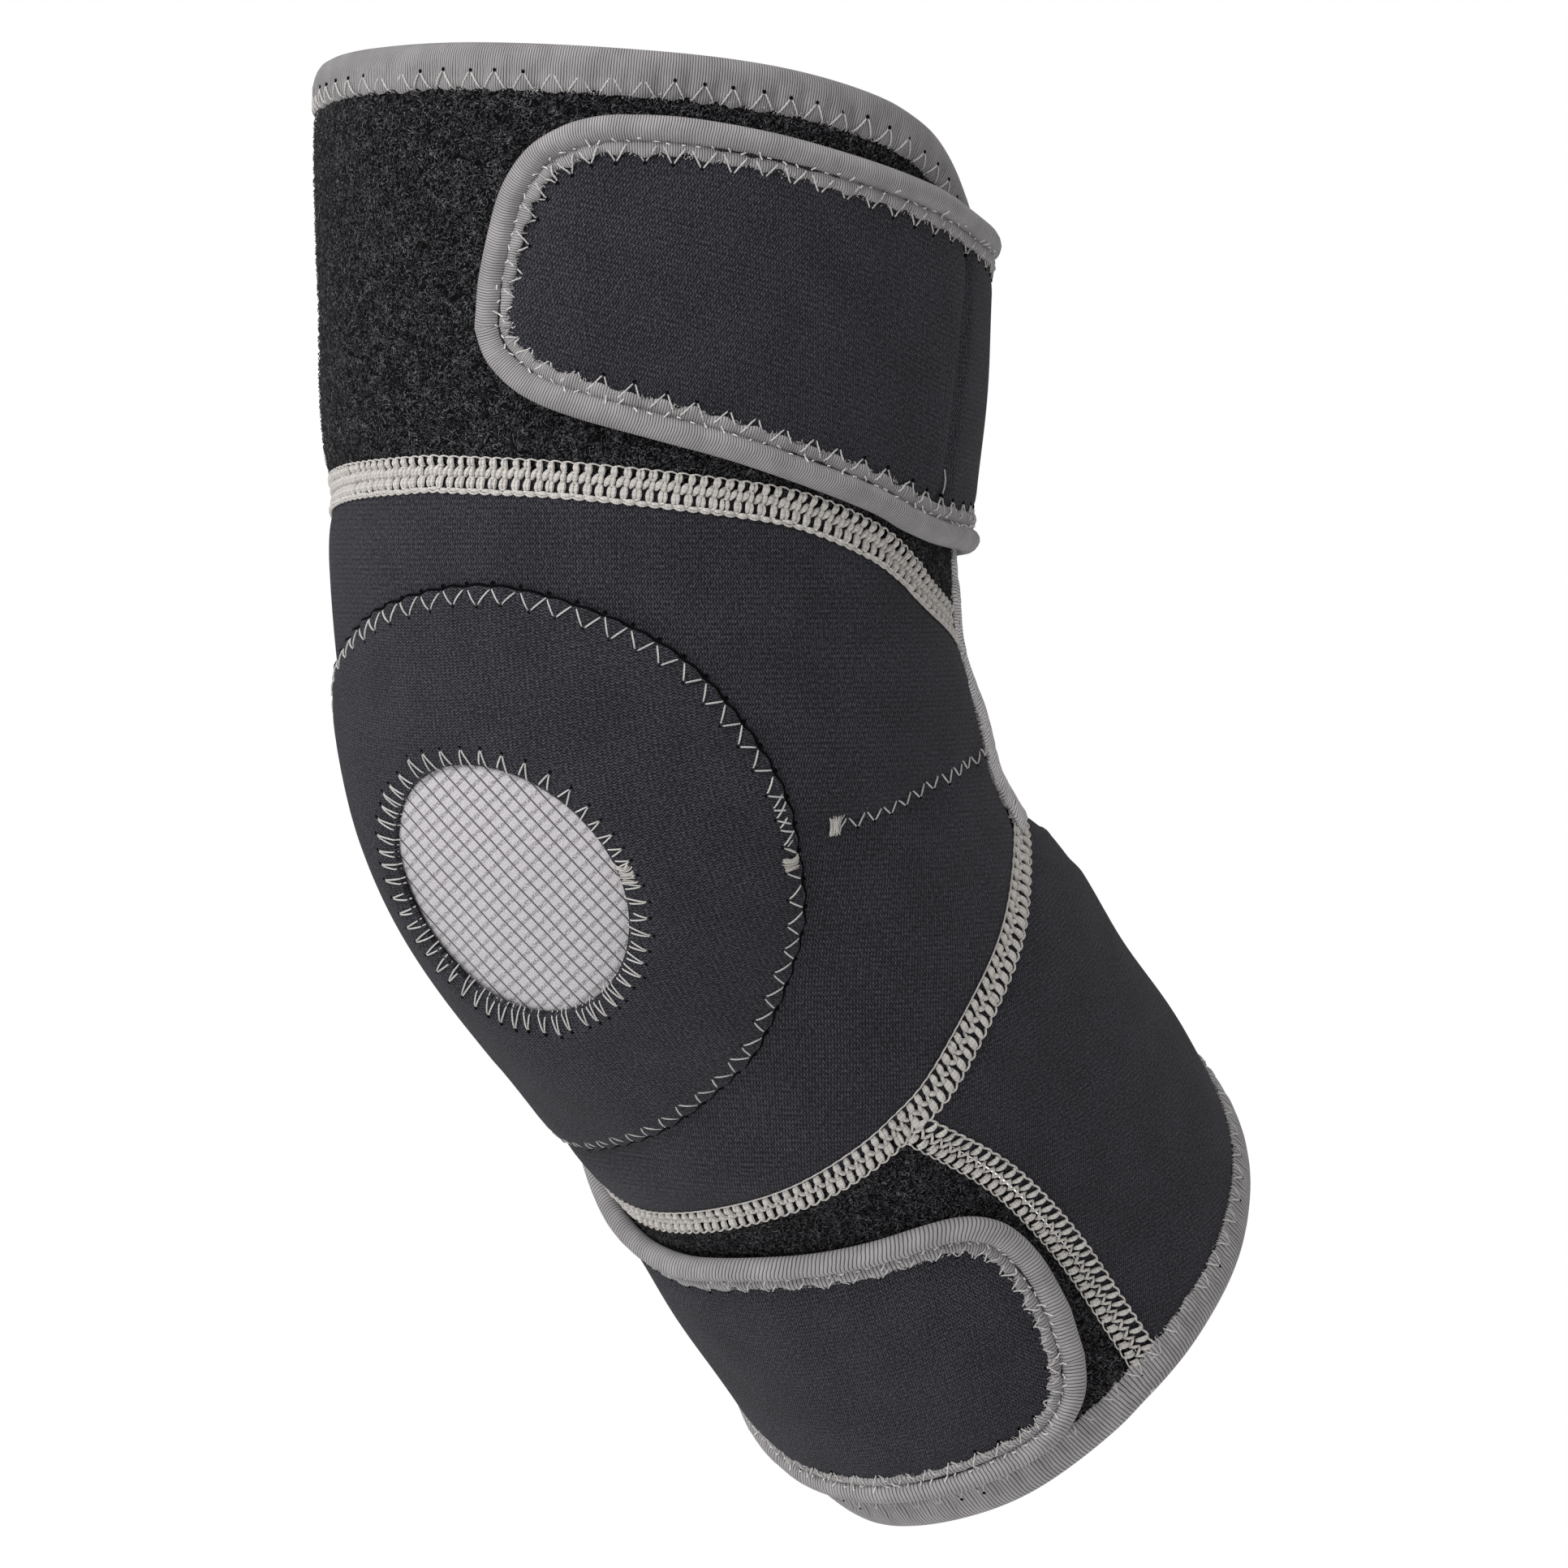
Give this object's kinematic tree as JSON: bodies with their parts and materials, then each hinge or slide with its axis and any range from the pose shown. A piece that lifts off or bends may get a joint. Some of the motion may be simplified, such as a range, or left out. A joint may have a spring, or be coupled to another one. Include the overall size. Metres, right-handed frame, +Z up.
{
  "type": "knee support",
  "caption": "Wrap-around knee support of padded cloth with a ring and mesh over the kneecap, an upper and a lower fastening strap, and bound edges, in the form it takes on a bent leg.",
  "frame": {"origin": "middle of the knee, on the centre line of the leg", "axes": "+Z up the thigh, -Y to the front of the knee, +X to the side on which the upper strap comes round to the front"},
  "size_m": [0.1416, 0.2147, 0.3051],
  "materials": {
    "charcoal_jersey": "fine-knit nylon jersey on neoprene foam, matt with a soft sheen",
    "loop_plush": "brushed loop pile, matt black with pale fibre flecks",
    "grey_binding": "stretch binding tape with fine cross ribs",
    "patella_mesh": "thin pale cloth with a dark ripstop grid",
    "sewing_thread": "spun thread, pale warm grey"
  },
  "bodies": {
    "root": {"upper_loop_panel": "loop_plush", "knee_panel": "charcoal_jersey", "patella_pad": "charcoal_jersey", "patella_mesh": "patella_mesh", "lower_loop_panel": "loop_plush", "calf_panel": "charcoal_jersey", "upper_strap": "charcoal_jersey", "lower_strap": "charcoal_jersey", "top_binding": "grey_binding", "upper_strap_binding": "grey_binding", "lateral_binding": "grey_binding", "medial_binding": "grey_binding", "calf_top_binding": "grey_binding", "bottom_binding": "grey_binding", "lower_strap_binding": "grey_binding"}
  },
  "joints": []
}
